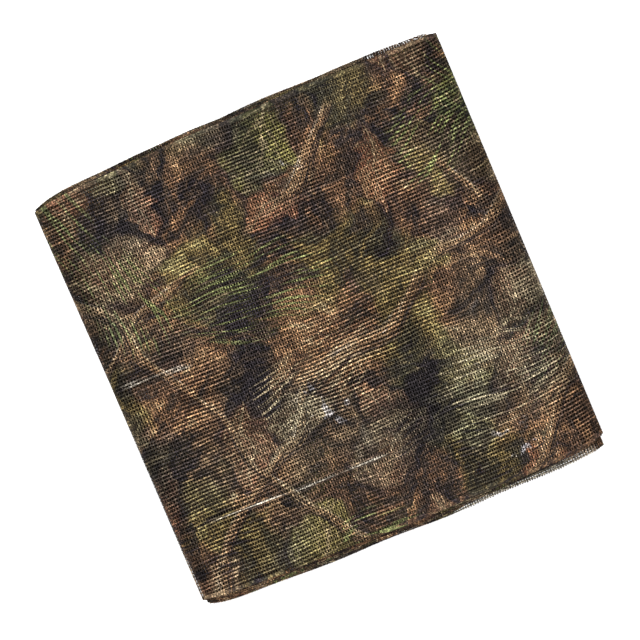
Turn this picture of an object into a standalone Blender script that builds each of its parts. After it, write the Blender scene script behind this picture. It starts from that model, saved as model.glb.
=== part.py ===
"""Camouflage net, folded flat: one length of open printed mesh laid back and forth in a square packet.

Frame: metres, +Z up, origin in the middle of the underside. X runs from fold to fold, and Y along
the folds, from the near raw edge to the far one. The net is one sheet. Its section in X and Z goes
back and forth through the layers, and the last length is tucked in under the top layer, so the top
layer has a fold on either side.
"""

from typing import NamedTuple

import bpy
import numpy as np

MM = 0.001

# Driving sizes, in metres.
CLOTH = 1.0 * MM  # thickness of the net, with its weave
PITCH_MIDDLE = 1.75 * MM  # one layer to the next, where the packet is loft and springy
PITCH_FOLDS = 1.45 * MM  # the same, where the layers are pressed together at the folds
PITCH_RAW_EDGES = 1.6 * MM  # the same, at the two raw edges
PRESSED_FROM = 124 * MM  # the packet starts to thin this far from its middle, towards the folds
PRESSED_TO = 147 * MM  # and it is pressed down here
THINS_FROM = 118 * MM  # it starts to thin this far from its middle, towards the raw edges
THINS_TO = 156 * MM
LOFT = 0.04  # rise and dip of the layers away from the four sides, as a share of their height
LOFT_ACROSS = 330 * MM  # length of one rise and dip along X
LOFT_ALONG = 410 * MM  # and along Y
LOFT_TOP = (22 * MM, -14 * MM)  # the highest place, right of the middle and a little nearer
CORNER_SHARPNESS = 14  # power of the curve that rounds the corners: higher keeps it nearer them
EDGE_WAVE = 0.6 * MM  # height of the small waves along a raw edge
EDGE_WAVE_LENGTH = 92 * MM

# Where the layers have points. Every layer has the same, so that none cuts into its neighbour.
HALF_WIDTH = 150 * MM
STATIONS_ACROSS = np.array([15, 42, 68, 90, 108, 122, 131, 137.5, 143]) * MM
STATIONS_ALONG = np.array([40, 118, 138]) * MM
FOLD_STEPS = 6


class Turn(NamedTuple):
    """A fold or a free end of the strip, in mm: how far it reaches from the middle at its near and
    its far end, where the two raw edges would cross it, and how far those draw in there."""

    near_reach: float
    far_reach: float
    near: float
    far: float
    near_drawn: float
    far_drawn: float


class Layer(NamedTuple):
    """One length between two turns: its place in the stack, and how far its raw edges bow, in mm."""

    level: int
    near_bow: float
    far_bow: float


# From the bottom free end on, at the left and at the right in turn.
TURNS = (
    Turn(near_reach=145.0, far_reach=146.0, near=-149.6, far=150.6, near_drawn=4.0, far_drawn=4.0),
    Turn(near_reach=145.9, far_reach=149.9, near=-152.6, far=152.4, near_drawn=4.0, far_drawn=4.0),
    Turn(near_reach=147.2, far_reach=149.8, near=-152.0, far=151.8, near_drawn=4.0, far_drawn=4.0),
    Turn(near_reach=146.3, far_reach=150.3, near=-158.0, far=152.0, near_drawn=4.0, far_drawn=3.0),
    Turn(near_reach=148.0, far_reach=150.4, near=-150.8, far=152.8, near_drawn=4.0, far_drawn=4.0),
    Turn(near_reach=147.3, far_reach=150.3, near=-153.0, far=152.8, near_drawn=6.0, far_drawn=3.0),
    Turn(near_reach=150.2, far_reach=150.6, near=-149.6, far=153.4, near_drawn=5.6, far_drawn=4.4),
    Turn(near_reach=148.1, far_reach=150.5, near=-152.2, far=155.8, near_drawn=6.0, far_drawn=4.0),
    Turn(near_reach=148.4, far_reach=151.3, near=-146.2, far=149.6, near_drawn=3.0, far_drawn=3.0),
    Turn(near_reach=148.2, far_reach=151.0, near=-152.0, far=152.6, near_drawn=6.6, far_drawn=0.6),
    Turn(near_reach=141.0, far_reach=142.0, near=-147.6, far=150.0, near_drawn=4.0, far_drawn=3.0),
)

# One row for each length between two turns, in the same order. The last two change places in the
# stack: the strip passes over the top and comes back under it.
LAYERS = (
    Layer(level=0, near_bow=2.0, far_bow=2.0),
    Layer(level=1, near_bow=1.6, far_bow=2.6),
    Layer(level=2, near_bow=1.8, far_bow=1.8),
    Layer(level=3, near_bow=0.4, far_bow=3.6),
    Layer(level=4, near_bow=2.6, far_bow=3.8),
    Layer(level=5, near_bow=1.2, far_bow=4.0),
    Layer(level=6, near_bow=1.0, far_bow=2.6),
    Layer(level=7, near_bow=0.6, far_bow=3.2),
    Layer(level=9, near_bow=1.8, far_bow=2.6),
    Layer(level=8, near_bow=0.8, far_bow=2.4),
)


def clear_scene():
    """Remove what a new file holds."""
    for thing in list(bpy.data.objects):
        bpy.data.objects.remove(thing, do_unlink=True)


def ease(value):
    """A smooth step: 0 below 0, 1 above 1, and 3v^2 - 2v^3 between."""
    v = np.clip(value, 0.0, 1.0)
    return v * v * (3.0 - 2.0 * v)


def pitch(x, y):
    """Height from one layer to the next at (x, y): loft in the middle, less at the four sides."""
    pressed = ease((np.abs(x) - PRESSED_FROM) / (PRESSED_TO - PRESSED_FROM))
    thinned = np.clip((np.abs(y) - THINS_FROM) / (THINS_TO - THINS_FROM), 0.0, 1.0)
    across = np.cos(2 * np.pi * (x - LOFT_TOP[0]) / LOFT_ACROSS)
    wave = across * np.cos(2 * np.pi * (y - LOFT_TOP[1]) / LOFT_ALONG)
    middle = PITCH_MIDDLE * (1.0 + LOFT * wave * (1.0 - thinned))
    open_pitch = middle + (PITCH_RAW_EDGES - middle) * thinned
    return open_pitch + (PITCH_FOLDS - open_pitch) * pressed


def side_of(turn):
    """-1 for the turns at the left, 1 for those at the right."""
    return 1 if turn % 2 else -1


def fold_radius(index):
    """Half the height that the sheet's middle climbs at this turn."""
    rise = abs(LAYERS[index].level - LAYERS[index - 1].level)
    return rise * PITCH_FOLDS / 2


def reach(index):
    """How far this turn reaches from the middle, halfway along it."""
    return (TURNS[index].near_reach + TURNS[index].far_reach) / 2 * MM


def lean(index):
    """How far this turn shifts along X from halfway along it to HALF_WIDTH further."""
    return side_of(index) * (TURNS[index].far_reach - TURNS[index].near_reach) / 2 * MM


def end_of_length(index):
    """Where the flat length stops at this turn: at the start of the bend, or at the free end."""
    if index in (0, len(TURNS) - 1):
        return -reach(index)
    return side_of(index) * (reach(index) - fold_radius(index))


def raw_edge(ends, drawn, bow, share, x, phase):
    """Y of a raw edge: a line from turn to turn, bowed by a half sine, with small waves, and drawn
    in near the folds. A bow is outwards, so it is negative on the near edge."""
    outwards = 1.0 if bow > 0 else -1.0
    line = ends[0] + (ends[1] - ends[0]) * share
    bowed = bow * np.sin(np.pi * share)
    waves = np.sin(2 * np.pi * x / EDGE_WAVE_LENGTH + phase) * np.sin(np.pi * share)
    corner = (drawn[0] + (drawn[1] - drawn[0]) * share) * np.abs(x / HALF_WIDTH) ** CORNER_SHARPNESS
    return (line + bowed - outwards * corner) * MM + EDGE_WAVE * waves


def flat_length(index):
    """One length of the section from turn to turn, as columns x, level, near, far and lean."""
    layer, start, end = LAYERS[index], TURNS[index], TURNS[index + 1]
    first, last = end_of_length(index), end_of_length(index + 1)
    inner = np.concatenate([-STATIONS_ACROSS[::-1], STATIONS_ACROSS])
    inner = inner[(inner > min(first, last) + MM) & (inner < max(first, last) - MM)]
    x = np.concatenate([[first], inner if first < last else inner[::-1], [last]])
    share = (x - first) / (last - first)
    drawn = (start.near_drawn, end.near_drawn)
    near = raw_edge((start.near, end.near), drawn, -layer.near_bow, share, x, 1.3 * index)
    drawn = (start.far_drawn, end.far_drawn)
    far = raw_edge((start.far, end.far), drawn, layer.far_bow, share, x, 2.1 * index)
    leans = lean(index) + (lean(index + 1) - lean(index)) * share
    return np.column_stack([x, np.full_like(x, layer.level), near, far, leans])


def bend(index, before, after):
    """The half round from one length to the next, without its two ends: in x a cosine, and in
    level a sine, while the raw edges and the lean cross over evenly."""
    angle = np.linspace(-np.pi / 2, np.pi / 2, FOLD_STEPS + 1)[1:-1]
    share = (angle / np.pi + 0.5)[:, None]
    row = before + (after - before) * share
    levels = (LAYERS[index - 1].level, LAYERS[index].level)
    row[:, 0] = side_of(index) * fold_radius(index) * np.cos(angle) + end_of_length(index)
    row[:, 1] = np.mean(levels) + (levels[1] - levels[0]) / 2 * np.sin(angle)
    return row


def section():
    """The whole way of the sheet through the packet, a row for each point."""
    lengths = [flat_length(i) for i in range(len(LAYERS))]
    rows = [lengths[0]]
    for i in range(1, len(LAYERS)):
        rows.append(bend(i, lengths[i - 1][-1], lengths[i][0]))
        rows.append(lengths[i])
    return np.concatenate(rows)


def middle_surface():
    """Points of the sheet's middle surface: the section's rows by the stations along Y."""
    x, level, near, far, leans = section().T
    along = np.concatenate([-STATIONS_ALONG[::-1], [0.0], STATIONS_ALONG])
    inner = np.broadcast_to(along, (len(x), len(along)))
    y = np.column_stack([near, inner, far])
    x = x[:, None] + leans[:, None] * y / HALF_WIDTH
    z = CLOTH / 2 + level[:, None] * pitch(x, y)
    return np.stack([x, y, z], axis=-1)


def grid_faces(rows, columns):
    """Four corners of each cell of a grid of points numbered row by row."""
    corner = np.arange(rows * columns).reshape(rows, columns)
    cells = [corner[:-1, :-1], corner[1:, :-1], corner[1:, 1:], corner[:-1, 1:]]
    return np.stack(cells, axis=-1).reshape(-1, 4)


def mesh_fabric():
    """Printed mesh of dark earth colours, dull all over."""
    fabric = bpy.data.materials.new("printed_mesh")
    fabric.use_nodes = True
    shader = fabric.node_tree.nodes["Principled BSDF"]
    shader.inputs["Base Color"].default_value = (0.095, 0.070, 0.047, 1.0)
    shader.inputs["Roughness"].default_value = 0.85
    shader.inputs["Metallic"].default_value = 0.0
    return fabric


def folded_net():
    """The sheet, made from its middle surface and thickened by half a cloth to either side."""
    points = middle_surface()
    rows, columns = points.shape[:2]
    mesh = bpy.data.meshes.new("net")
    mesh.from_pydata(points.reshape(-1, 3).tolist(), [], grid_faces(rows, columns).tolist())
    mesh.materials.append(mesh_fabric())
    mesh.shade_smooth()
    net = bpy.data.objects.new("net", mesh)
    bpy.context.collection.objects.link(net)
    thicken = net.modifiers.new("cloth", "SOLIDIFY")
    thicken.thickness = CLOTH
    thicken.offset = 0.0
    thicken.use_even_offset = True
    return net


clear_scene()
folded_net()
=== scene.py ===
"""Camouflage net, folded flat: every thread of the open mesh, laid on the folds of its packed sheet.

The net is one strip. s runs along the strip through all its folds, and t across it, both in metres
of cloth. Columns are the threads across the strip and rows are those along it. The sizes and the
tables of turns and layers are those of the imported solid.
"""

from math import radians
from typing import NamedTuple

import bpy
import numpy as np
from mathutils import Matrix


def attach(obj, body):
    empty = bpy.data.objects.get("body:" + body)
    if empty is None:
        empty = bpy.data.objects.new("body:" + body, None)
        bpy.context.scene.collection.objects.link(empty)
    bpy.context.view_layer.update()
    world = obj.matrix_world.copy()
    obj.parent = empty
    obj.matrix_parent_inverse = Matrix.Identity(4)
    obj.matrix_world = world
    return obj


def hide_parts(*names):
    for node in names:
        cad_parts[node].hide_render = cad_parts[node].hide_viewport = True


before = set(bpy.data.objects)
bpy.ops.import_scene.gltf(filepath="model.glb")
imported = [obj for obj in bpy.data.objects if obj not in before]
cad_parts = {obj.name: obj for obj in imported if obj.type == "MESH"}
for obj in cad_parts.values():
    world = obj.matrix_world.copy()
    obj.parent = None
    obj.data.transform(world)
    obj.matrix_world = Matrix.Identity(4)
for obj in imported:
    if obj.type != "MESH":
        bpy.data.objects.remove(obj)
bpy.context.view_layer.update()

MM = 0.001
SEED = 11

# The folded sheet, as packed.
PITCH_MIDDLE = 1.75 * MM
PITCH_FOLDS = 1.45 * MM
PITCH_RAW_EDGES = 1.6 * MM
PRESSED_FROM, PRESSED_TO = 124 * MM, 147 * MM
THINS_FROM, THINS_TO = 118 * MM, 156 * MM
LOFT, LOFT_ACROSS, LOFT_ALONG = 0.04, 330 * MM, 410 * MM
LOFT_TOP = (22 * MM, -14 * MM)
CORNER_SHARPNESS = 14
EDGE_WAVE, EDGE_WAVE_LENGTH = 0.6 * MM, 92 * MM
NEAR_PHASE, FAR_PHASE = 1.3, 2.1  # by which the waves shift from one layer to the next
HALF_WIDTH = 150 * MM

# The mesh of threads.
COLUMN_PITCH = 1.83 * MM
ROW_PITCH = 2.51 * MM
COLUMN_WIDTH = 0.80 * MM
ROW_WIDTH = 1.00 * MM
SPLAYED = 1.4  # the columns are this many times as wide where their ends stand free
THREAD_HEIGHT = 0.34 * MM
CROSSING_RISE = 0.15 * MM  # half the height between two threads where they cross
BED = 0.40 * MM  # height of the bottom layer's middle above the surface it lies on
ROWS = 128
EDGE_THREAD_IN = 0.45 * MM  # the first thread along a raw edge lies this far inside it
EDGE_THREADS, EDGE_THREADS_APART = 3, 0.88 * MM
EDGE_THREADS_STRAY = 0.2  # share by which they come and go
ROWS_STOP = 2.9 * MM  # the even rows stop this far inside the raw edge
WANDER, WANDER_UP = 0.9 * MM, 0.12 * MM  # how far the mesh strays from even, and from level
WANDER_LENGTH, WANDER_SINES, WANDER_GAIN = 48 * MM, 7, 1.6
WANDER_EDGE_POWER = 8  # how suddenly it dies out at the raw edges
UNEVEN_COLUMNS, UNEVEN_ROWS, UNEVEN_ENDS = 0.08 * MM, 0.1 * MM, 0.2 * MM  # out of place at most
UNEVEN_WIDTH, UNEVEN_STOP = 0.15, 0.3  # share by which a thread is wider or stops further in
GATHER, GATHER_WIDTH = 6.0 * MM, 12 * MM  # how strongly the columns crowd towards a fold
FLAT_ON_FOLD, FLAT_WIDTH = 0.9, 3 * MM  # share by which crossings flatten on it
SETTLE = 0.55 * MM  # the top layer and the one below it lean on each other by this at most
SETTLE_MEAN, SETTLE_SWING = 0.95, 0.5
SETTLE_WAVE_ALONG, SETTLE_WAVE_ACROSS, SETTLE_SLANT = 19 * MM, 23 * MM, 41 * MM

# Points in each length and bend of the strip, places where a stretch of it is measured, and how
# far apart the rings of points lie along a thread that isn't fine.
LENGTH_POINTS, BEND_POINTS, WIDTHS_MEASURED = 151, 25, 50
ROWS_TO_A_RING = 5
RINGS_APART = 13 * MM
RINGS_NEAR_FOLD, NEAR_FOLD = 4.7 * MM, 28 * MM
RINGS_ON_FOLD, ON_FOLD = 0.4 * MM, 2.4 * MM

# Painted shade: how much darker the threads are painted in the tucked-in length, at folds and raw
# edges, and inside the packet. A worn edge gets less of this painted shade.
TUCKED_IN_SHADE = 0.7
FOLD_SHADE, FOLD_SHADE_FROM, FOLD_SHADE_WIDTH = 0.5, 135 * MM, 10 * MM
EDGE_SHADE, EDGE_SHADE_WIDTH = 0.3, 9 * MM
INSIDE_FROM, INSIDE_WIDTH = 2 * MM, 9 * MM
WORN_EDGE_WIDTH, WORN_EDGE_TO, WORN_EDGE_FADE = 10 * MM, 144 * MM, 8 * MM
WORN_EDGE_LESS_SHADE = 0.5


class Turn(NamedTuple):
    """A fold or a free end of the strip, in mm: how far it reaches from the middle at its near and
    its far end, where the two raw edges would cross it, and how far those draw in there."""

    near_reach: float
    far_reach: float
    near: float
    far: float
    near_drawn: float
    far_drawn: float


class Layer(NamedTuple):
    """One length between two turns: its place in the stack, and how far its raw edges bow, in mm."""

    level: int
    near_bow: float
    far_bow: float


TURNS = (
    Turn(near_reach=145.0, far_reach=146.0, near=-149.6, far=150.6, near_drawn=4.0, far_drawn=4.0),
    Turn(near_reach=145.9, far_reach=149.9, near=-152.6, far=152.4, near_drawn=4.0, far_drawn=4.0),
    Turn(near_reach=147.2, far_reach=149.8, near=-152.0, far=151.8, near_drawn=4.0, far_drawn=4.0),
    Turn(near_reach=146.3, far_reach=150.3, near=-158.0, far=152.0, near_drawn=4.0, far_drawn=3.0),
    Turn(near_reach=148.0, far_reach=150.4, near=-150.8, far=152.8, near_drawn=4.0, far_drawn=4.0),
    Turn(near_reach=147.3, far_reach=150.3, near=-153.0, far=152.8, near_drawn=6.0, far_drawn=3.0),
    Turn(near_reach=150.2, far_reach=150.6, near=-149.6, far=153.4, near_drawn=5.6, far_drawn=4.4),
    Turn(near_reach=148.1, far_reach=150.5, near=-152.2, far=155.8, near_drawn=6.0, far_drawn=4.0),
    Turn(near_reach=148.4, far_reach=151.3, near=-146.2, far=149.6, near_drawn=3.0, far_drawn=3.0),
    Turn(near_reach=148.2, far_reach=151.0, near=-152.0, far=152.6, near_drawn=6.6, far_drawn=0.6),
    Turn(near_reach=141.0, far_reach=142.0, near=-147.6, far=150.0, near_drawn=4.0, far_drawn=3.0),
)
LAYERS = (
    Layer(level=0, near_bow=2.0, far_bow=2.0),
    Layer(level=1, near_bow=1.6, far_bow=2.6),
    Layer(level=2, near_bow=1.8, far_bow=1.8),
    Layer(level=3, near_bow=0.4, far_bow=3.6),
    Layer(level=4, near_bow=2.6, far_bow=3.8),
    Layer(level=5, near_bow=1.2, far_bow=4.0),
    Layer(level=6, near_bow=1.0, far_bow=2.6),
    Layer(level=7, near_bow=0.6, far_bow=3.2),
    Layer(level=9, near_bow=1.8, far_bow=2.6),
    Layer(level=8, near_bow=0.8, far_bow=2.4),
)
TOP = 8  # place of the top layer in LAYERS, between turns 8 and 9


class Crease(NamedTuple):
    """A sharp ridge in the top layer, in mm: its two ends, half width and height, how bright the
    painted highlight along it is and how much the threads crowd to it."""

    start: tuple
    end: tuple
    half_width: float
    height: float
    pale: float
    crowded: float


CREASES = (
    Crease((-130, -96), (18, -102.5), half_width=1.1, height=0.7, pale=0.9, crowded=0.85),
    Crease((-150, 12.5), (-86, 7.5), half_width=2.4, height=0.5, pale=0.55, crowded=0.1),
)
CREASE_FADE = 14 * MM  # length over which each end dies away
CREASE_WAVE, CREASE_WAVE_LENGTH = 0.5 * MM, 17 * MM
CREASE_PATCHES, CREASE_PATCHINESS = 6 * MM, 0.25  # length over which its painted highlight and shadow are stronger and weaker
CREASE_CROWDED_WIDTH = 2.6 * MM
CREASE_SHADE, CREASE_SHADE_OFF = 0.5, 2.2  # the painted shadow in the fold, and how many half widths off it lies


class OpenEdge(NamedTuple):
    """A stretch of raw edge that has opened or frayed: its turn, in mm where it runs from and to
    along the strip, its side of the strip, how far inside it the rows and the columns stop, how
    many threads still follow it, how far inside the first of them lies and how far apart they are,
    and how pale it has worn."""

    turn: int
    start: float
    end: float
    side: int
    rows_stop: float
    columns_stop: float = 0.0
    threads: int = 0
    first: float = 0.0
    apart: float = 0.0
    pale: float = 0.0


NEAR, FAR = -1, 1  # the sides of the strip
OPEN_EDGES = (
    OpenEdge(
        3, -105, 105, NEAR, rows_stop=6.2, columns_stop=-0.2, threads=3, first=0.9, apart=2.0, pale=0.5
    ),
    OpenEdge(5, -160, -90, FAR, rows_stop=0.7),
    OpenEdge(5, -47, -12, FAR, rows_stop=4.3, columns_stop=1.4, threads=3, first=1.85, apart=0.88),
    OpenEdge(5, 12, 47, FAR, rows_stop=4.3, columns_stop=1.4, threads=3, first=1.85, apart=0.88),
    OpenEdge(6, 66, 98, FAR, rows_stop=2.8, threads=1, first=0.45),
    OpenEdge(7, -46, -30, FAR, rows_stop=2.7, threads=1, first=0.6),
    OpenEdge(7, -30, -20, FAR, rows_stop=4.2, columns_stop=0.2),
    OpenEdge(7, -20, -11, FAR, rows_stop=4.2, threads=1, first=0.45),
    OpenEdge(7, 6, 28, FAR, rows_stop=4.2, columns_stop=0.9),
    OpenEdge(7, 28, 46, FAR, rows_stop=3.0, threads=1, first=0.45),
    OpenEdge(8, 60, 130, NEAR, rows_stop=0.7),
)


class LooseThread(NamedTuple):
    """A thread that came out of the fray, in mm: where it starts from the turn, its length, how far
    it lies outside the raw edge at its start and at its end, how often it waves, by how much, and
    how high it lifts."""

    start: float
    length: float
    outside: float
    outside_end: float
    waves: float
    swing: float
    lift: float


FRAY_TURN = 7
LOOSE_POINTS = 25
LOOSE_RIPPLES, LOOSE_RIPPLE_SWING = 2.5, 0.4  # smaller waves on the waves, and their swing
LOOSE_WIDTH, LOOSE_RISE = 0.7 * MM, 0.2 * MM
LOOSE_SHADE, LOOSE_LOTS = 0.6, (0.1, 0.6)
LOOSE_THREADS = (
    LooseThread(start=-44, length=15, outside=-2.9, outside_end=-1.9, waves=1.1, swing=0.5, lift=0.3),
    LooseThread(start=-27, length=10, outside=-0.6, outside_end=-0.4, waves=0.6, swing=0.1, lift=0.1),
    LooseThread(start=-19, length=13, outside=-3.2, outside_end=0.7, waves=1.6, swing=0.6, lift=0.9),
    LooseThread(start=-15, length=9, outside=0.6, outside_end=-0.9, waves=1.3, swing=0.5, lift=0.8),
    LooseThread(start=-30, length=21, outside=-3.4, outside_end=-2.6, waves=1.9, swing=0.5, lift=0.5),
)


def ease(value):
    """A smooth step: 0 below 0, 1 above 1, and 3v^2 - 2v^3 between."""
    v = np.clip(value, 0.0, 1.0)
    return v * v * (3.0 - 2.0 * v)


def pressed(x):
    """0 where the packet is lofty and 1 where it is pressed together at the folds."""
    return ease((np.abs(x) - PRESSED_FROM) / (PRESSED_TO - PRESSED_FROM))


def pitch(x, y):
    """Height from one layer to the next at (x, y): loft in the middle, less at the four sides."""
    thinned = np.clip((np.abs(y) - THINS_FROM) / (THINS_TO - THINS_FROM), 0.0, 1.0)
    across = np.cos(2 * np.pi * (x - LOFT_TOP[0]) / LOFT_ACROSS)
    wave = across * np.cos(2 * np.pi * (y - LOFT_TOP[1]) / LOFT_ALONG)
    middle = PITCH_MIDDLE * (1.0 + LOFT * wave * (1.0 - thinned))
    open_pitch = middle + (PITCH_RAW_EDGES - middle) * thinned
    return open_pitch + (PITCH_FOLDS - open_pitch) * pressed(x)


def side_of(turn):
    """-1 for the turns at the left, 1 for those at the right."""
    return 1 if turn % 2 else -1


def fold_radius(index):
    """Half the height that the sheet's middle climbs at this turn."""
    return abs(LAYERS[index].level - LAYERS[index - 1].level) * PITCH_FOLDS / 2


def reach(index):
    """How far this turn reaches from the middle, halfway along it."""
    return (TURNS[index].near_reach + TURNS[index].far_reach) / 2 * MM


def lean(index):
    """How far this turn shifts along X from halfway along it to HALF_WIDTH further."""
    return side_of(index) * (TURNS[index].far_reach - TURNS[index].near_reach) / 2 * MM


def end_of_length(index):
    """Where the flat length stops at this turn: at the start of the bend, or at the free end."""
    if index in (0, len(TURNS) - 1):
        return -reach(index)
    return side_of(index) * (reach(index) - fold_radius(index))


def raw_edge(ends, drawn, bow, share, x, phase):
    """Y of a raw edge: a line from turn to turn, bowed by a half sine, with small waves, and drawn
    in near the folds. A bow is outwards, so it is negative on the near edge."""
    outwards = 1.0 if bow > 0 else -1.0
    line = ends[0] + (ends[1] - ends[0]) * share
    bowed = bow * np.sin(np.pi * share)
    waves = np.sin(2 * np.pi * x / EDGE_WAVE_LENGTH + phase) * np.sin(np.pi * share)
    corner = (drawn[0] + (drawn[1] - drawn[0]) * share) * np.abs(x / HALF_WIDTH) ** CORNER_SHARPNESS
    return (line + bowed - outwards * corner) * MM + EDGE_WAVE * waves


def flat_length(index):
    """One length of the strip from turn to turn, as columns x, level, near, far and lean."""
    layer, start, end = LAYERS[index], TURNS[index], TURNS[index + 1]
    share = np.linspace(0.0, 1.0, LENGTH_POINTS)
    x = end_of_length(index) + (end_of_length(index + 1) - end_of_length(index)) * share
    drawn = (start.near_drawn, end.near_drawn)
    near = raw_edge((start.near, end.near), drawn, -layer.near_bow, share, x, NEAR_PHASE * index)
    drawn = (start.far_drawn, end.far_drawn)
    far = raw_edge((start.far, end.far), drawn, layer.far_bow, share, x, FAR_PHASE * index)
    leans = lean(index) + (lean(index + 1) - lean(index)) * share
    return np.column_stack([x, np.full_like(x, layer.level), near, far, leans])


def bend(index, before, after):
    """The half round between two lengths: a cosine in x and a sine in level, without its ends."""
    angle = np.linspace(-np.pi / 2, np.pi / 2, BEND_POINTS)[1:-1]
    row = before + (after - before) * (angle / np.pi + 0.5)[:, None]
    levels = (LAYERS[index - 1].level, LAYERS[index].level)
    row[:, 0] = side_of(index) * fold_radius(index) * np.cos(angle) + end_of_length(index)
    row[:, 1] = np.mean(levels) + (levels[1] - levels[0]) / 2 * np.sin(angle)
    return row


def strip():
    """The strip's way: columns s, x, level, near, far and lean, and the s halfway round each turn."""
    lengths = [flat_length(i) for i in range(len(LAYERS))]
    rows, turn_rows = [lengths[0]], [0]
    for i in range(1, len(LAYERS)):
        half_round = bend(i, lengths[i - 1][-1], lengths[i][0])
        turn_rows.append(sum(map(len, rows)) + len(half_round) // 2)
        rows += [half_round, lengths[i]]
    way = np.concatenate(rows)
    height = way[:, 1] * pitch(way[:, 0], 0.0)
    s = np.concatenate([[0.0], np.cumsum(np.hypot(np.diff(way[:, 0]), np.diff(height)))])
    turn_rows.append(len(s) - 1)
    return np.column_stack([s, way]), s[turn_rows]


STRIP, TURN_S = strip()
CHANCE = np.random.default_rng(SEED)
WANDER_WAVES = CHANCE.uniform(-1, 1, (WANDER_SINES, 2)) * 2 * np.pi / WANDER_LENGTH
WANDER_PHASES = CHANCE.uniform(0, 2 * np.pi, (WANDER_SINES, 3))


def wander(s, t, which):
    """A slow unevenness, about -1 to 1 over the cloth: slanting sines together."""
    total = 0.0
    for wave, phase in zip(WANDER_WAVES, WANDER_PHASES):
        total = total + np.sin(wave[0] * s + wave[1] * t + phase[which])
    return total * WANDER_GAIN / WANDER_SINES


def half_width(s):
    """Half the strip's width at s."""
    return np.interp(s, STRIP[:, 0], (STRIP[:, 4] - STRIP[:, 3]) / 2)


def flat_place(s, t):
    """x, y and level of the cloth at (s, t), read off the strip, before its creases. The mesh
    strays from even by its wander, but not in x at the folds nor in y at the raw edges."""
    x, level, near, far, leans = (np.interp(s, STRIP[:, 0], STRIP[:, k]) for k in range(1, 6))
    y = (near + far) / 2 + t
    x = x + leans * y / HALF_WIDTH
    inside = 1.0 - np.clip(np.abs(2 * t / (far - near)), 0.0, 1.0) ** WANDER_EDGE_POWER
    x = x + WANDER * wander(s, t, 0) * (1.0 - pressed(x))
    return x, y + WANDER * wander(s, t, 1) * inside, level


def creased(s, x, y):
    """What the creases do to the top layer at (x, y): the height of the ridge, a bell across the
    line, how far the cloth is gathered to the line along Y, and its tone, above 0 for the painted
    highlight on the ridge and below 0 for the painted shadow in the fold on its near side."""
    on_top = ((s > TURN_S[TOP]) & (s < TURN_S[TOP + 1])).astype(float)
    height, gathered, tone = np.zeros_like(x), np.zeros_like(x), np.zeros_like(x)
    for crease in CREASES:
        start, end = np.array(crease.start) * MM, np.array(crease.end) * MM
        length = np.hypot(*(end - start))
        along = ((x - start[0]) * (end[0] - start[0]) + (y - start[1]) * (end[1] - start[1])) / length
        off = ((x - start[0]) * (end[1] - start[1]) - (y - start[1]) * (end[0] - start[0])) / length
        off = off + CREASE_WAVE * np.sin(along / CREASE_WAVE_LENGTH)
        fade = ease(along / CREASE_FADE) * ease((length - along) / CREASE_FADE) * on_top
        ridge = np.exp(-((off / (crease.half_width * MM)) ** 2))
        hollow = np.exp(-((off / (crease.half_width * MM) - CREASE_SHADE_OFF) ** 2))
        height += crease.height * MM * fade * ridge
        gathered += crease.crowded * off * fade * np.exp(-((off / CREASE_CROWDED_WIDTH) ** 2))
        patchy = 1.0 - CREASE_PATCHINESS * (1.0 - np.sin(along / CREASE_PATCHES))
        # painted highlight on the ridge, painted shadow in the fold beside it
        tone += fade * patchy * (crease.pale * ridge - CREASE_SHADE * hollow)
    return height, gathered, tone


def settled(s, x, y):
    """How far the cloth at (x, y) rises from its level, or sags: the top layer and the length
    tucked in under it lean on each other, but for the hollows of two slow waves."""
    way = (s > TURN_S[TOP + 1]).astype(float) - ((s > TURN_S[TOP]) & (s < TURN_S[TOP + 1]))
    waves = np.cos(x / SETTLE_WAVE_ALONG + 1.0) + np.sin(y / SETTLE_WAVE_ACROSS + x / SETTLE_SLANT)
    return SETTLE * way * ease(SETTLE_MEAN + SETTLE_SWING * waves) * (1.0 - pressed(x))


def point(s, t):
    """The cloth's middle at (s, t): z is the level times the pitch there, with the creases, slow
    unevenness, and what the top layers have settled."""
    x, y, level = flat_place(s, t)
    height, gathered, _ = creased(s, x, y)
    z = BED + level * pitch(x, y) + height + settled(s, x, y)
    z = z + WANDER_UP * wander(3 * s, 3 * t, 2) * np.minimum(level, 1.0)
    return np.stack([x, y + gathered, z], axis=-1)


def unit(vectors):
    """The vectors at length 1."""
    return vectors / np.linalg.norm(vectors, axis=-1, keepdims=True)


class Threads(NamedTuple):
    """Threads as closed prisms: points, their place on the cloth, faces, and for each point
    whether it is on a row, the lot of its thread, how worn it is with the creases' painted
    highlight and shadow, and how much painted shade it has."""

    points: np.ndarray
    cloth: np.ndarray
    faces: list
    row: np.ndarray
    lot: np.ndarray
    wear_and_crease_light: np.ndarray
    covered: np.ndarray


def covered(s, t, x):
    """Painted shade: 1 inside the packet, less on the layer under the top one, a little along the
    folds and the raw edges, and 0 on the rest of the outside."""
    inner = ((s > TURN_S[2]) & (s < TURN_S[TOP])) + TUCKED_IN_SHADE * (s > TURN_S[TOP + 1])
    from_edge = half_width(s) - np.abs(t)
    inside = ease((from_edge - INSIDE_FROM) / INSIDE_WIDTH) * (1.0 - pressed(x))
    at_fold = FOLD_SHADE * ease((np.abs(x) - FOLD_SHADE_FROM) / FOLD_SHADE_WIDTH)
    at_edge = EDGE_SHADE * (1.0 - ease(from_edge / EDGE_SHADE_WIDTH))
    return np.maximum(inner * inside, np.maximum(at_fold, at_edge))


def worn_edge(s, t, x):
    """How pale the near raw edge has worn at (s, t): as its cut says, less away from the edge and
    near the folds."""
    near_edge = ease(1.0 - (half_width(s) + t) / WORN_EDGE_WIDTH)
    off_folds = ease((WORN_EDGE_TO - np.abs(x)) / WORN_EDGE_FADE)
    return edge_cut(s, NEAR).pale * near_edge * off_folds


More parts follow.
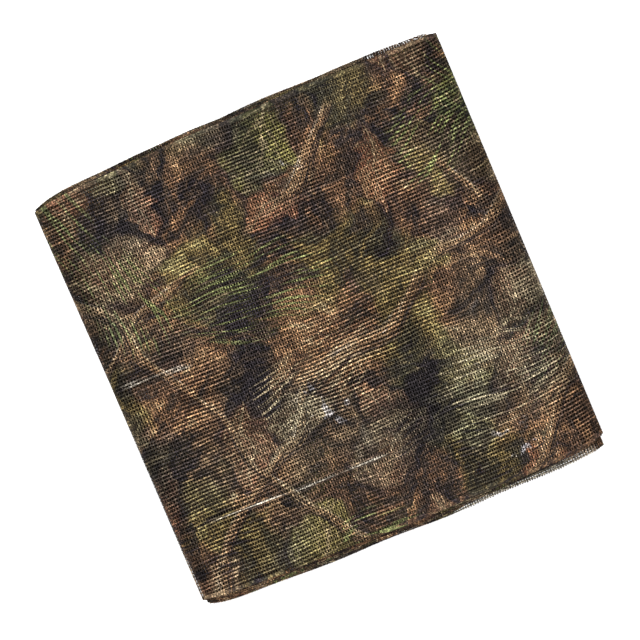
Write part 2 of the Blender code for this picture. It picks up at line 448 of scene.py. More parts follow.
def threads(s, t, keep, along_strip, rise, width, lots, sides):
    """Threads from grids s and t of threads by points. Round each point lies a ring: half the width
    across the thread times a cosine, and half the height off the cloth times a sine. A ring of
    three has a corner on top, and a ring of four is a rectangle of that width and height. Rings
    that follow each other are joined where both are kept, and both ends of each run are closed."""
    step = 0.1 * MM
    here = point(s, t)
    down_strip = unit(point(s + step, t) - point(s - step, t))
    across = unit(point(s, t + step) - point(s, t - step))
    off = unit(np.cross(down_strip, across))
    breadth = across if along_strip else -down_strip
    here = here + off * rise[..., None]
    angle = (np.arange(sides) + 0.5) * 2 * np.pi / sides + (np.pi / 6 if sides == 3 else 0.0)
    corner = np.cos(np.pi / 4 if sides == 4 else 0.0)
    sideways = width[..., None] / 2 / corner * np.cos(angle)
    upwards = THREAD_HEIGHT / 2 / corner * np.sin(angle)
    ring = (
        here[..., None, :]
        + breadth[..., None, :] * sideways[..., None]
        + off[..., None, :] * upwards[:, None]
    )
    aside = (0.0, 1.0) if along_strip else (-1.0, 0.0)
    cloth = np.stack([s[..., None] + aside[0] * sideways, t[..., None] + aside[1] * sideways], axis=-1)
    x, y, _ = flat_place(s, t)
    edge_worn = worn_edge(s, t, x)
    # wear on the raw edge, plus the creases' painted highlight and painted shadow
    wear_and_crease_light = creased(s, x, y)[2] + edge_worn
    # painted shade, weaker where the edge is worn
    deep = covered(s, t, x) * (1.0 - WORN_EDGE_LESS_SHADE * edge_worn)

    number = np.arange(ring[..., 0].size).reshape(ring.shape[:-1])
    turned = np.roll(number, -1, axis=-1)
    joined = keep[:, :-1] & keep[:, 1:]
    quads = np.stack([number[:, :-1], turned[:, :-1], turned[:, 1:], number[:, 1:]], axis=-1)
    none = np.zeros((len(keep), 1), bool)
    begins = np.hstack([joined, none]) & ~np.hstack([none, joined])
    ends = np.hstack([none, joined]) & ~np.hstack([joined, none])
    faces = [quads[joined].reshape(-1, 4), number[begins][:, ::-1], number[ends]]
    lot = np.repeat(lots, s.shape[1] * sides)
    wear_and_crease_light, deep = np.repeat(wear_and_crease_light.ravel(), sides), np.repeat(deep.ravel(), sides)
    row = np.full(lot.shape, float(along_strip))
    return Threads(ring.reshape(-1, 3), cloth.reshape(-1, 2), faces, row, lot, wear_and_crease_light, deep)


def drawn_to_folds(s):
    """s drawn towards each fold, most at 0.7 gather widths from it."""
    for turn in TURN_S[1:-1]:
        away = (s - turn) / GATHER_WIDTH
        s = s - GATHER * away * np.exp(-away * away)
    return s


class EdgeCut(NamedTuple):
    """How a raw edge is cut, place by place: how far inside it the rows and the columns stop, how
    many threads follow it, how far inside the first of them lies, how far apart they are and how
    worn it is."""

    rows_stop: np.ndarray
    columns_stop: np.ndarray
    threads: np.ndarray
    first: np.ndarray
    apart: np.ndarray
    pale: np.ndarray


def edge_cut(s, side):
    """How the raw edge on this side of the strip, NEAR or FAR, is cut at s."""
    usual = (ROWS_STOP, 0.0, EDGE_THREADS, EDGE_THREAD_IN, EDGE_THREADS_APART, 0.0)
    cut = EdgeCut(*(np.full(s.shape, float(value)) for value in usual))
    for stretch in OPEN_EDGES:
        along = (s - TURN_S[stretch.turn]) / MM
        here = (along > stretch.start) & (along < stretch.end) & (stretch.side == side)
        cut.rows_stop[here] = stretch.rows_stop * MM
        cut.columns_stop[here] = stretch.columns_stop * MM
        cut.threads[here] = stretch.threads
        cut.first[here] = stretch.first * MM
        cut.apart[here] = stretch.apart * MM
        cut.pale[here] = stretch.pale
    return cut


def crossing_rise(s):
    """Half the height between rows and columns at s, nearly none on the folds."""
    on_fold = np.zeros(s.shape)
    for turn in TURN_S[1:-1]:
        on_fold = on_fold + np.exp(-(((s - turn) / FLAT_WIDTH) ** 2))
    return CROSSING_RISE * (1.0 - FLAT_ON_FOLD * on_fold)


def columns(s_from, s_to, fine):
    """The threads across the strip, under the rows. Fine ones have a ring at each row, and the
    others one every few rows."""
    number = np.arange(np.ceil(s_from / COLUMN_PITCH), np.ceil(s_to / COLUMN_PITCH))
    uneven = np.random.default_rng(SEED + int(number[0]))
    count = len(number)
    column_s = drawn_to_folds(number * COLUMN_PITCH)
    column_s = column_s + UNEVEN_COLUMNS * uneven.uniform(-1, 1, count)
    wide = COLUMN_WIDTH * uneven.uniform(1 - UNEVEN_WIDTH, 1 + UNEVEN_WIDTH, count)
    near, far = edge_cut(column_s, NEAR), edge_cut(column_s, FAR)
    stops = uneven.uniform(1 - UNEVEN_STOP, 1 + UNEVEN_STOP, (2, count))
    stops = stops * [near.columns_stop, far.columns_stop]
    opened = (near.pale > 0) | (far.threads < EDGE_THREADS)
    wide = wide * np.where(opened, SPLAYED, 1.0)
    near_end = -half_width(column_s) - UNEVEN_ENDS * uneven.uniform(-1, 1, count) + stops[0]
    far_end = half_width(column_s) + UNEVEN_ENDS * uneven.uniform(-1, 1, count) - stops[1]
    step = ROW_PITCH if fine else ROWS_TO_A_RING * ROW_PITCH
    last = int(np.ceil(ROWS * ROW_PITCH / 2 / step))
    even_t = (np.arange(-last, last) + 0.5 if fine else np.arange(-last, last + 1)) * step
    keep = (even_t > near_end[:, None] - step) & (even_t < far_end[:, None] + step)
    t = np.clip(np.broadcast_to(even_t, keep.shape), near_end[:, None], far_end[:, None])
    s = np.broadcast_to(column_s[:, None], t.shape)
    width = wide[:, None] * (1.0 + UNEVEN_WIDTH * wander(2 * s, 2 * t, 2))
    lots = uneven.uniform(0, 1, count)
    return threads(s, t, keep, False, -crossing_rise(s), width, lots, 4 if fine else 3)


def places_along(s_from, s_to, fine):
    """Places of the rings along the strip: at the columns or further apart, and close at the folds."""
    if fine:
        number = np.arange(np.ceil(s_from / COLUMN_PITCH), np.ceil(s_to / COLUMN_PITCH))
        places = [drawn_to_folds(number * COLUMN_PITCH), [s_from, s_to]]
    else:
        places = [np.arange(s_from, s_to, RINGS_APART), [s_to]]
    for turn in TURN_S[1:-1]:
        if not fine:
            places.append(np.arange(turn - NEAR_FOLD, turn + NEAR_FOLD, RINGS_NEAR_FOLD))
        places.append(np.arange(turn - ON_FOLD, turn + ON_FOLD + RINGS_ON_FOLD / 4, RINGS_ON_FOLD))
    return np.unique(np.clip(np.round(np.concatenate(places), 5), s_from, s_to))


def rows(s_from, s_to, fine):
    """The threads along the strip, and those that follow each raw edge."""
    uneven = np.random.default_rng(SEED + 1)
    number = np.arange(ROWS)
    row_t = (number - (ROWS - 1) / 2) * ROW_PITCH + UNEVEN_ROWS * uneven.uniform(-1, 1, ROWS)
    count = ROWS + 2 * EDGE_THREADS
    wide = ROW_WIDTH * uneven.uniform(1 - UNEVEN_WIDTH, 1 + UNEVEN_WIDTH, count)
    lots = np.random.default_rng(SEED + int(s_from / COLUMN_PITCH)).uniform(0, 1, count)
    places = places_along(s_from, s_to, fine)
    s = np.broadcast_to(places, (count, len(places)))
    edge = half_width(places)
    even_t = np.broadcast_to(row_t[:, None], (ROWS, len(places)))
    near, far = edge_cut(places, NEAR), edge_cut(places, FAR)
    in_order = np.arange(EDGE_THREADS)[:, None]
    stray = 1.0 + EDGE_THREADS_STRAY * wander(4 * places, 0.0, 2)
    inside_near = near.first + in_order * near.apart * stray
    inside_far = far.first + in_order * far.apart * stray
    t = np.vstack([even_t, inside_near - edge, edge - inside_far])
    keep = np.vstack(
        [
            np.abs(even_t) < edge - np.where(even_t < 0, near.rows_stop, far.rows_stop),
            in_order < near.threads,
            in_order < far.threads,
        ]
    )
    width = wide[:, None] * (1.0 + UNEVEN_WIDTH * wander(2 * s, 2 * t, 0))
    return threads(s, t, keep, True, crossing_rise(s), width, lots, 4 if fine else 3)


def loose_threads():
    """The threads that came out of the fray, waving in and out of the edge and off the cloth."""
    share = np.linspace(0.0, 1.0, LOOSE_POINTS)
    start, length, outside, outside_end, waves, swing, lift = np.array(LOOSE_THREADS).T[..., None]
    s = TURN_S[FRAY_TURN] + (start + length * share) * MM
    round_waves = 2 * np.pi * waves * share
    wavy = np.sin(round_waves + start) + LOOSE_RIPPLE_SWING * np.sin(LOOSE_RIPPLES * round_waves)
    t = half_width(s) + (outside + (outside_end - outside) * share + swing * wavy) * MM
    rise = LOOSE_RISE + lift * MM * np.sin(np.pi * share) ** 2
    width = np.full(s.shape, LOOSE_WIDTH)
    keep = np.ones(s.shape, bool)
    loose = threads(s, t, keep, True, rise, width, np.linspace(*LOOSE_LOTS, len(s)), 3)
    # the loose threads get an even painted shade
    return loose._replace(covered=np.full_like(loose.covered, LOOSE_SHADE))


def net_stretch(name, s_from, s_to, fine):
    """One stretch of the strip as one mesh, and its flat length and width."""
    parts = [columns(s_from, s_to, fine), rows(s_from, s_to, fine)]
    if s_from < TURN_S[FRAY_TURN] < s_to:
        parts.append(loose_threads())
    places = np.linspace(s_from, s_to, WIDTHS_MEASURED)
    return joined_mesh(name, parts), (s_to - s_from, float(np.mean(2 * half_width(places))))


def joined_mesh(name, parts):
    """One object from several sets of threads. Points on no face are left out."""
    faces, first = [], 0
    for part in parts:
        faces += [face + first for face in part.faces]
        first += len(part.points)
    kinds = ("row", "lot", "wear_and_crease_light", "covered")
    fields = ("points", "cloth", *kinds)
    points, cloth, *values = (np.concatenate([getattr(part, f) for part in parts]) for f in fields)
    used = np.zeros(len(points), bool)
    for face in faces:
        used[face.ravel()] = True
    renumbered = np.cumsum(used) - 1
    points, cloth = points[used], cloth[used]
    polygons = [polygon for face in faces for polygon in renumbered[face].tolist()]
    mesh = bpy.data.meshes.new(name)
    mesh.from_pydata(points.tolist(), [], polygons)
    mesh.shade_smooth()
    corner = np.empty(len(mesh.loops), np.int32)
    mesh.loops.foreach_get("vertex_index", corner)
    low, high = cloth.min(axis=0), cloth.max(axis=0)
    for map_name, places in (("cloth", cloth), ("OFBake", (cloth - low) / (high - low))):
        layer = mesh.uv_layers.new(name=map_name)
        layer.data.foreach_set("uv", places[corner].astype(np.float32).ravel())
    for kind, value in zip(kinds, values):
        carried = mesh.attributes.new(kind, "FLOAT", "POINT")
        carried.data.foreach_set("value", value[used].astype(np.float32))
    return placed(name, mesh)


def placed(name, data):
    """A new object in the scene."""
    thing = bpy.data.objects.new(name, data)
    bpy.context.scene.collection.objects.link(thing)
    return thing


def dull(name, roughness):
    """A new rough material, and its shader."""
    material = bpy.data.materials.new(name)
    material.use_nodes = True
    shader = material.node_tree.nodes["Principled BSDF"]
    shader.inputs["Roughness"].default_value = roughness
    return material, shader


def put(tree, kind, *values, **settings):
    """Adds a node, sets it up and fills its inputs in order: a socket is linked, a number set."""
    node = tree.nodes.new(kind)
    for key, value in settings.items():
        setattr(node, key, value)
    for socket, value in zip(node.inputs, values):
        fill(tree, socket, value)
    return node


def fill(tree, socket, value):
    """Links a socket to the input, or sets the number there. None leaves it as it is."""
    if isinstance(value, bpy.types.NodeSocket):
        tree.links.new(value, socket)
    elif value is not None:
        socket.default_value = value


def fill_named(tree, node, **values):
    """Fills inputs by their names."""
    for name, value in values.items():
        fill(tree, node.inputs[name], value)


def attribute(tree, name):
    """A number that the mesh carries at each of its points."""
    return put(tree, "ShaderNodeAttribute", attribute_name=name).outputs["Fac"]


def maths(tree, operation, *values):
    """One sum on one, two or three numbers."""
    return put(tree, "ShaderNodeMath", *values, operation=operation).outputs[0]


def line(tree, value, slope, start):
    """Slope times the value, plus start."""
    return maths(tree, "MULTIPLY_ADD", value, slope, start)


def product(tree, first, *others):
    """Numbers multiplied together."""
    for other in others:
        first = maths(tree, "MULTIPLY", first, other)
    return first


def scaled(tree, vector, scale):
    """A vector or a colour times a number."""
    times = put(tree, "ShaderNodeVectorMath", vector, operation="SCALE")
    fill_named(tree, times, Scale=scale)
    return times.outputs[0]


def blend(tree, share, under, over):
    """Over laid on under by the share."""
    node = put(tree, "ShaderNodeMix", data_type="RGBA")
    for name, value in (("Factor_Float", share), ("A_Color", under), ("B_Color", over)):
        fill(tree, next(i for i in node.inputs if i.identifier == name), value)
    return next(o for o in node.outputs if o.identifier == "Result_Color")


def soft_step(tree, value, low, high, start=0.0, end=1.0):
    """Start where value is below low, end above high, and smooth between."""
    inputs = (value, low, high, start, end)
    return put(tree, "ShaderNodeMapRange", *inputs, interpolation_type="SMOOTHSTEP").outputs[0]


def tones(tree, value, stops):
    """Colours along a scale: each stop is a place from 0 to 1 and a colour."""
    ramp = put(tree, "ShaderNodeValToRGB", value)
    elements = ramp.color_ramp.elements
    elements[0].position, elements[1].position = stops[0][0], stops[-1][0]
    elements[0].color, elements[1].color = stops[0][1], stops[-1][1]
    for place, tone in stops[1:-1]:
        elements.new(place).color = tone
    return ramp.outputs[0]


def noise(tree, vector, scale, detail, roughness=0.5, output=0):
    """Cloudy noise in two dimensions, about 0.2 to 0.8."""
    cloud = put(tree, "ShaderNodeTexNoise", noise_dimensions="2D")
    fill_named(tree, cloud, Vector=vector, Scale=scale, Detail=detail, Roughness=roughness)
    return cloud.outputs[output]


def pulled(tree, vector, scale, detail, amount):
    """The place moved by cloudy noise, up to about a third of the amount either way."""
    cloud = noise(tree, vector, scale, detail, output=1)
    centred = put(tree, "ShaderNodeVectorMath", cloud, (0.5, 0.5, 0.5), operation="SUBTRACT")
    inputs = (centred.outputs[0], (amount, amount, 0.0), vector)
    return put(tree, "ShaderNodeVectorMath", *inputs, operation="MULTIPLY_ADD").outputs[0]


SHIFT_ACROSS = 0.37  # of the shift along


def plots(tree, vector, cell, shift, unevenness=0.8):
    """Ground shared out in plots, one for each motif: its own turned coordinates in cells, from
    the plot's middle, and three lots. The cell is in mm, and the shift picks other plots."""
    cells = 1.0 / (cell * MM)
    moved = put(tree, "ShaderNodeVectorMath", vector, (shift, SHIFT_ACROSS * shift, 0.0)).outputs[0]
    shared = put(tree, "ShaderNodeTexVoronoi", voronoi_dimensions="2D", feature="F1")
    fill_named(tree, shared, Vector=moved, Scale=cells, Randomness=unevenness)
    away = put(tree, "ShaderNodeVectorMath", moved, shared.outputs["Position"], operation="SUBTRACT")
    lots = put(tree, "ShaderNodeSeparateColor", shared.outputs["Color"]).outputs
    turned = put(tree, "ShaderNodeVectorRotate", away.outputs[0], rotation_type="Z_AXIS")
    fill_named(tree, turned, Angle=product(tree, lots[0], 2 * np.pi))
    split = put(tree, "ShaderNodeSeparateXYZ", scaled(tree, turned.outputs[0], cells)).outputs
    return split[0], split[1], lots


class Leaves(NamedTuple):
    """One kind of leaf: size of its plots in mm, shift of the plots, share of plots that have a
    leaf, breadth to length, lobes as a share of the breadth, the radians of their sine from the
    middle to an end, and two tones."""

    cell: float
    shift: float
    share: float
    breadth: float
    lobe: float
    lobes: float
    dark: tuple
    light: tuple


SHORTEST_LEAF, LEAVES_DIFFER = 0.30, 0.14  # half lengths, in cells
VEINS_APART, VEIN_SLANT = 0.045, 1.1


def leaf(tree, vector, kind):
    """Leaves. Half breadth is 1 - q^2 along the leaf, with lobes as a sine, times the breadth.
    Gives the mask, the mask of its shadow, the light on it, its veins and a lot for each leaf."""
    a, b, lots = plots(tree, vector, kind.cell, kind.shift)
    half = line(tree, lots[1], LEAVES_DIFFER, SHORTEST_LEAF)
    q = maths(tree, "DIVIDE", a, half)
    body = maths(tree, "SUBTRACT", 1.0, maths(tree, "MULTIPLY", q, q))
    lobes = maths(tree, "SINE", line(tree, q, kind.lobes, lots[0]))
    body = product(tree, body, line(tree, lobes, kind.lobe, 1.0), kind.breadth, half)
    from_rib = maths(tree, "ABSOLUTE", b)
    inside = maths(tree, "SUBTRACT", body, from_rib)
    there = maths(tree, "LESS_THAN", lots[2], kind.share)
    mask = product(tree, soft_step(tree, inside, low=-0.01, high=0.05), there)
    shadow = product(tree, soft_step(tree, inside, low=-0.12, high=0.03), there)
    light = soft_step(tree, line(tree, b, 2.0, q), low=-1.1, high=0.8, start=0.45, end=1.3)
    rib = soft_step(tree, from_rib, low=0.003, high=0.018, start=1.0, end=0.0)
    slant = line(tree, from_rib, VEIN_SLANT, product(tree, a, -1.0))
    from_vein = maths(tree, "PINGPONG", slant, VEINS_APART)
    side = soft_step(tree, from_vein, low=0.002, high=0.016, start=0.7, end=0.0)
    veins = product(tree, maths(tree, "MAXIMUM", rib, side), mask)
    return mask, shadow, light, veins, lots[1]


def streaked(tree, along, across, cells, detail, roughness):
    """Noise drawn out: the cells are how many there are to a unit along, and to one across."""
    along, across = product(tree, along, cells[0]), product(tree, across, cells[1])
    place = put(tree, "ShaderNodeCombineXYZ", along, across).outputs[0]
    return noise(tree, place, scale=1.0, detail=detail, roughness=roughness)


class Shards(NamedTuple):
    """One size of litter: size of its plots in mm, shift of the plots, and how much it shows."""

    cell: float
    shift: float
    strength: float


SHARDS_DIFFER = 0.16  # from the darkest shard to the lightest


def shards(tree, vector, kind):
    """Litter in shards, each streaked its own way: noise drawn out along the shard's own turned
    coordinates, and lighter or darker by its lot."""
    a, b, lots = plots(tree, vector, kind.cell, kind.shift, unevenness=1.0)
    streaks = streaked(tree, a, b, cells=(1.6, 8.0), detail=4.0, roughness=0.6)
    return line(tree, lots[2], SHARDS_DIFFER, maths(tree, "SUBTRACT", streaks, SHARDS_DIFFER / 2))


class Branches(NamedTuple):
    """One set of branches: how far they are turned, in degrees, and in mm how far apart they are
    and how broad."""

    turn: float
    spacing: float
    breadth: float


BRANCH_SWING = 0.16  # metres of swing for noise from 0 to 1
THINNEST, THICKENS = 0.2, 1.6  # breadths of a branch where the noise is 0, and how many more at 1


def branches(tree, vector, kind):
    """Long branches: a wavy line's distance in breadths. Gives the mask, with stretches hidden,
    and the light on the bark, more towards one side."""
    turned = put(tree, "ShaderNodeMapping", vector, None, (0.0, 0.0, radians(kind.turn))).outputs[0]
    x, y = put(tree, "ShaderNodeSeparateXYZ", turned).outputs[:2]
    wavy = line(tree, noise(tree, turned, scale=5.5, detail=2.0, roughness=0.4), BRANCH_SWING, y)
    in_row = maths(tree, "FRACT", maths(tree, "DIVIDE", wavy, kind.spacing * MM))
    off = product(tree, maths(tree, "SUBTRACT", in_row, 0.5), kind.spacing)
    thick = noise(tree, turned, scale=17.0, detail=1.0)
    thick = line(tree, thick, THICKENS * kind.breadth, THINNEST * kind.breadth)
    side = maths(tree, "DIVIDE", off, thick)
    shape = soft_step(tree, maths(tree, "ABSOLUTE", side), low=0.35, high=0.65, start=1.0, end=0.0)
    shown = soft_step(tree, noise(tree, turned, scale=9.0, detail=1.0), low=0.40, high=0.47)
    streaks = streaked(tree, x, off, cells=(45.0, 0.9), detail=3.0, roughness=0.65)
    return product(tree, shape, shown), line(tree, side, 0.35, streaks)


class Needles(NamedTuple):
    """Sprays of needles: size of their plots in mm, shift of the plots, and their tone."""

    cell: float
    shift: float
    tone: tuple


NEEDLE_PLOTS = 0.5  # share of plots that have a spray
NEEDLES_PER_MM = 0.6
FAN, CURL, OVAL = 0.9, 0.12, 3.0


def needles(tree, vector, kind):
    """Sprays of needles: long cells of noise, thinned to strokes, that spread a little from one
    end and curl. They lie in an oval round each plot's middle."""
    a, b, lots = plots(tree, vector, kind.cell, kind.shift)
    a_squared = maths(tree, "MULTIPLY", a, a)
    spread = maths(tree, "DIVIDE", b, line(tree, a, FAN, 1.0))
    curled = line(tree, a_squared, CURL, spread)
    cells = (3.2, NEEDLES_PER_MM * kind.cell)
    strokes = streaked(tree, a, curled, cells, detail=1.5, roughness=0.4)
    strokes = soft_step(tree, strokes, low=0.57, high=0.65)
    from_middle = maths(tree, "ADD", a_squared, product(tree, b, b, OVAL))
    oval = soft_step(tree, from_middle, low=0.10, high=0.24, start=1.0, end=0.0)
    return product(tree, strokes, oval, maths(tree, "LESS_THAN", lots[2], NEEDLE_PLOTS))


def colour(red, green, blue):
    """A colour as a screen shows it, each part from 0 to 255, turned into the light it stands for."""
    values = np.array([red, green, blue]) / 255
    linear = np.where(values <= 0.04045, values / 12.92, ((values + 0.055) / 1.055) ** 2.4)
    return (*linear.tolist(), 1.0)


INK = colour(52, 46, 50)
SLATE = colour(72, 70, 76)
UMBER = colour(86, 71, 60)
BARK = colour(121, 91, 70)
TAN = colour(166, 127, 92)
STRAW = colour(194, 170, 134)
OLIVE = colour(98, 96, 54)
MOSS = colour(72, 76, 54)
LEAF = colour(142, 138, 78)
RUST = colour(152, 98, 72)
GRASS = colour(138, 144, 92)
MIST = colour(204, 199, 202)
# pale wear on raw edges, and the painted highlight on crease ridges
CREAM = colour(222, 212, 194)

# Tones along a scale from dark to light.
LITTER_TONES = ((0.28, INK), (0.40, UMBER), (0.50, BARK), (0.62, TAN), (0.78, STRAW))
GREEN_TONES = ((0.30, INK), (0.44, MOSS), (0.56, OLIVE), (0.72, LEAF))
HOLLOW_TONES = ((0.4, INK), (0.7, SLATE))
WOOD_TONES = ((0.26, INK), (0.42, UMBER), (0.56, TAN), (0.74, STRAW), (0.88, MIST))

LEAVES = (
    Leaves(104, 3.1, share=0.50, breadth=0.70, lobe=0.12, lobes=9.0, dark=MOSS, light=LEAF),
    Leaves(78, 7.7, share=0.52, breadth=0.55, lobe=0.16, lobes=12.0, dark=RUST, light=TAN),
    Leaves(92, 1.9, share=0.42, breadth=0.62, lobe=0.10, lobes=8.0, dark=BARK, light=STRAW),
)
SHARDS = (Shards(cell=88, shift=4.3, strength=0.7), Shards(cell=47, shift=8.9, strength=0.45))
BRANCHES = (Branches(-31.0, spacing=150.0, breadth=14.0), Branches(52.0, spacing=210.0, breadth=10.0))
NEEDLES = (
    Needles(cell=110.0, shift=5.3, tone=GRASS),
    Needles(cell=125.0, shift=9.4, tone=STRAW),
    Needles(cell=100.0, shift=2.2, tone=INK),
    Needles(cell=140.0, shift=6.6, tone=GRASS),
)

# How fully each of them lies over what is under it, and how brown a leaf may be.
SHADOW_COVER, LEAF_COVER, VEIN_COVER, WOOD_COVER, NEEDLE_COVER = 0.75, 0.9, 0.5, 0.9, 0.85
LEAF_BROWNS = 0.6
GREYED = (0.55, 0.62, 0.84)  # hue, saturation and brightness of the greyer parts

# How much stronger or weaker the print is: a slope and a start for each cause.
CLOUDS = (0.75, -0.45)
BY_FIBRE = (3.0, -0.5)
BY_SPOT = (2.2, 0.42)
BY_THREAD = (0.7, 0.65)
# painted shade: the print darker the deeper a thread lies in the packet
BY_PAINTED_SHADE = (-0.93, 1.0)
ON_COLUMNS = (-1.0, 1.4)
ROWS_MORE = (1.5, -0.65)
PRINT_STRENGTH = 0.595  # the print's tones are given as they look in full light
SPOT = 0.7 * MM  # size of the spots by which the print took more or less well on the thread
THREAD_ROUGHNESS, THREAD_SHINE = 0.85, 0.12


def woodland(tree, cloth, open_air):
    """Woodland print: streaked litter, long branches, shaded leaves of three kinds over their
    shadows, dark hollows and sprays of needles, greyer and greener in some parts, and a few
    pale flecks where it lies open."""
    place = pulled(tree, cloth, scale=26.0, detail=3.0, amount=0.030)
    place = pulled(tree, place, scale=130.0, detail=2.0, amount=0.005)
    calm_place = pulled(tree, cloth, scale=12.0, detail=1.0, amount=0.020)

    litter = line(tree, noise(tree, place, scale=22.0, detail=5.0, roughness=0.6), *CLOUDS)
    for kind in SHARDS:
        litter = line(tree, shards(tree, place, kind), kind.strength, litter)
    print_colour = tones(tree, litter, LITTER_TONES)
    greener = noise(tree, place, scale=11.0, detail=3.0, roughness=0.55)
    greener = soft_step(tree, greener, low=0.53, high=0.63, end=0.6)
    print_colour = blend(tree, greener, print_colour, tones(tree, litter, GREEN_TONES))

    for kind in LEAVES:
        mask, shadow, light, veins, lot = leaf(tree, place, kind)
        print_colour = blend(tree, product(tree, shadow, SHADOW_COVER), print_colour, INK)
        patch = blend(tree, soft_step(tree, litter, low=0.34, high=0.66), kind.dark, kind.light)
        patch = scaled(tree, blend(tree, product(tree, lot, LEAF_BROWNS), patch, BARK), light)
        print_colour = blend(tree, product(tree, mask, LEAF_COVER), print_colour, patch)
        print_colour = blend(tree, product(tree, veins, VEIN_COVER), print_colour, STRAW)

    hollow = noise(tree, place, scale=16.0, detail=4.0, roughness=0.6)
    hollow = soft_step(tree, hollow, low=0.56, high=0.66, end=0.5)
    print_colour = blend(tree, hollow, print_colour, tones(tree, litter, HOLLOW_TONES))

    for kind in BRANCHES:
        mask, light = branches(tree, calm_place, kind)
        wood = tones(tree, light, WOOD_TONES)
        print_colour = blend(tree, product(tree, mask, WOOD_COVER), print_colour, wood)

    for kind in NEEDLES:
        strokes = needles(tree, calm_place, kind)
        print_colour = blend(tree, product(tree, strokes, NEEDLE_COVER), print_colour, kind.tone)

    cooler = noise(tree, calm_place, scale=8.0, detail=2.0)
    cooler = soft_step(tree, cooler, low=0.48, high=0.66, end=0.55)
    greyed = put(tree, "ShaderNodeHueSaturation", *GREYED, cooler, print_colour)
    print_colour = greyed.outputs[0]

    fleck = soft_step(tree, noise(tree, place, scale=90.0, detail=2.0), low=0.60, high=0.68)
    drift = noise(tree, calm_place, scale=12.0, detail=1.0)
    drift = soft_step(tree, drift, low=0.67, high=0.74, end=0.6)
    return blend(tree, product(tree, fleck, drift, open_air), print_colour, MIST)


def printed_thread():
    """Dull printed thread. The print is pale where the cloth is worn and as a painted highlight on
    the creases' ridges, dark as painted shadow in their folds, and stronger or weaker by fibre, spot,
    thread, rows or columns, and darker by painted shade where it lies deep."""
    material, shader = dull("printed_mesh", THREAD_ROUGHNESS)
    tree = material.node_tree
    cloth = put(tree, "ShaderNodeUVMap", uv_map="cloth").outputs[0]
    depth, wear_and_crease_light = attribute(tree, "covered"), attribute(tree, "wear_and_crease_light")

    open_air = soft_step(tree, depth, low=0.0, high=0.3, start=1.0, end=0.0)
    print_colour = woodland(tree, cloth, open_air)
    # pale: wear on raw edges, and painted highlight on the crease ridges
    pale = soft_step(tree, wear_and_crease_light, low=0.1, high=0.7, end=0.85)
    print_colour = blend(tree, pale, print_colour, CREAM)
    # painted shadow in the creases' folds
    dark = soft_step(tree, wear_and_crease_light, low=-0.7, high=-0.1, start=0.75, end=0.0)
    print_colour = blend(tree, dark, print_colour, INK)

    fibres = line(tree, noise(tree, cloth, scale=750.0, detail=2.0, roughness=0.6), *BY_FIBRE)
    spots = put(tree, "ShaderNodeVectorMath", cloth, (SPOT, SPOT, SPOT), operation="SNAP").outputs[0]
    spot = put(tree, "ShaderNodeTexWhiteNoise", spots, noise_dimensions="2D").outputs["Value"]
    spotted = line(tree, product(tree, spot, spot, spot), *BY_SPOT)
    rows_stand_out = soft_step(tree, noise(tree, cloth, scale=13.0, detail=2.0), low=0.36, high=0.61)
    on_columns = line(tree, rows_stand_out, *ON_COLUMNS)
    rows_more = line(tree, rows_stand_out, *ROWS_MORE)
    by_kind = line(tree, attribute(tree, "row"), rows_more, on_columns)
    by_thread = line(tree, attribute(tree, "lot"), *BY_THREAD)
    # painted shade, darker where the thread lies deep in the packet
    by_painted_shade = line(tree, depth, *BY_PAINTED_SHADE)
    gain = product(tree, fibres, spotted, by_kind, by_thread, by_painted_shade, PRINT_STRENGTH)
    fill(tree, shader.inputs["Base Color"], scaled(tree, print_colour, gain))
    shader.inputs["Specular IOR Level"].default_value = THREAD_SHINE
    return material


FLOOR_REACH, FLOOR_BELOW = 30.0, 0.2 * MM
FLOOR_GREY, FLOOR_ROUGHNESS = 0.97, 0.9


def pale_floor():
    """A plain pale floor, wide enough that no edge of it shows from low down."""
    mesh = bpy.data.meshes.new("floor")
    corners = [(x * FLOOR_REACH, y * FLOOR_REACH, 0.0) for x, y in ((-1, -1), (1, -1), (1, 1), (-1, 1))]
    mesh.from_pydata(corners, [], [(0, 1, 2, 3)])
    floor = placed("floor", mesh)
    floor.location.z = -FLOOR_BELOW
    material, shader = dull("pale_floor", FLOOR_ROUGHNESS)
    shader.inputs["Base Color"].default_value = (FLOOR_GREY, FLOOR_GREY, FLOOR_GREY, 1.0)
    mesh.materials.append(material)


class SoftBox(NamedTuple):
    """A softbox that faces the packet: its bearing from +X, in degrees, and its watts."""

    bearing: float
    watts: float


SOFT_BOXES = (
    SoftBox(bearing=130, watts=40.0),
    SoftBox(bearing=40, watts=30.0),
    SoftBox(bearing=220, watts=25.0),
    SoftBox(bearing=310, watts=25.0),
)
BOX_AWAY, BOX_UP, BOX_SIZE = 1.55, 1.3, 1.0
SKY_STRENGTH = 0.35


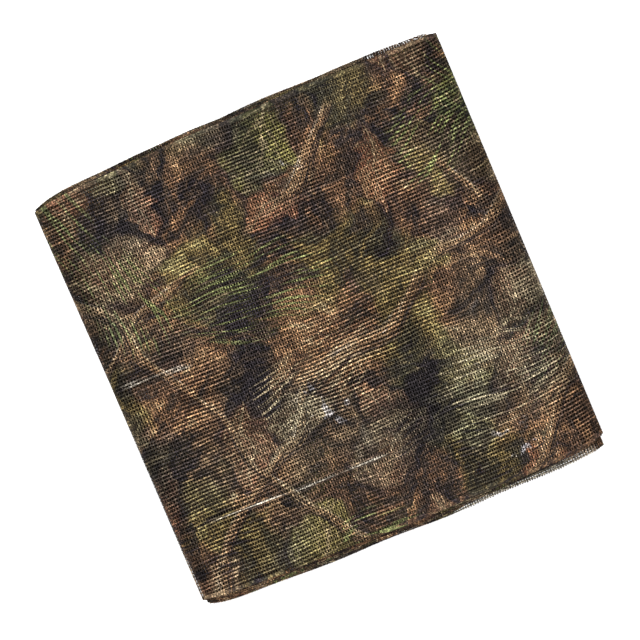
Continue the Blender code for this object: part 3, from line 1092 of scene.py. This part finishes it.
def studio():
    """Soft light from four sides, the most from the far left, so that the depth of the packet
    stays dark."""
    world = bpy.data.worlds.new("studio")
    world.use_nodes = True
    background = world.node_tree.nodes["Background"]
    background.inputs["Color"].default_value = (1.0, 1.0, 1.0, 1.0)
    background.inputs["Strength"].default_value = SKY_STRENGTH
    bpy.context.scene.world = world
    for number, box in enumerate(SOFT_BOXES):
        data = bpy.data.lights.new(f"soft_box_{number}", "AREA")
        data.size, data.energy = BOX_SIZE, box.watts
        light = placed(data.name, data)
        bearing = radians(box.bearing)
        light.location = (BOX_AWAY * np.cos(bearing), BOX_AWAY * np.sin(bearing), BOX_UP)
        light.rotation_euler = (0.0, np.arctan2(BOX_AWAY, BOX_UP), bearing)
    bpy.context.scene.view_settings.view_transform = "Standard"


VIEW_PIXELS = 640
METRES_PER_PIXEL = 0.693 * MM  # at the floor
CAMERA_HEIGHT, CAMERA_Y = 1.7, 1.75 * MM
SENSOR_MM = 36.0
TURN_IN_VIEW = 23.2  # the packet is turned this far to the left in the view, in degrees


def camera():
    """A long lens straight above the middle of the packet, rolled so that the packet looks turned."""
    data = bpy.data.cameras.new("camera")
    data.sensor_width = SENSOR_MM
    data.lens = SENSOR_MM * CAMERA_HEIGHT / (VIEW_PIXELS * METRES_PER_PIXEL)
    eye = placed("camera", data)
    eye.location = (0.0, CAMERA_Y, CAMERA_HEIGHT)
    eye.rotation_euler = (0.0, 0.0, -radians(TURN_IN_VIEW))
    bpy.context.scene.camera = eye


def net_pieces():
    """The strip in stretches: the top layer in two, and the others two layers at a time."""
    middle = (TURN_S[TOP] + TURN_S[TOP + 1]) / 2
    stretches = (
        ("net_layers_1_2", TURN_S[0], TURN_S[2], False),
        ("net_layers_3_4", TURN_S[2], TURN_S[4], False),
        ("net_layers_5_6", TURN_S[4], TURN_S[6], False),
        ("net_layers_7_8", TURN_S[6], TURN_S[8], False),
        ("net_top_left", TURN_S[8], middle, True),
        ("net_top_right", middle, TURN_S[9], True),
        ("net_tucked_in", TURN_S[9], TURN_S[10], False),
    )
    thread = printed_thread()
    for name, s_from, s_to, fine in stretches:
        piece, flat = net_stretch(name, s_from, s_to, fine)
        piece.data.materials.append(thread)
        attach(piece, "root")
        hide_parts("net")


camera()
studio()
pale_floor()
net_pieces()
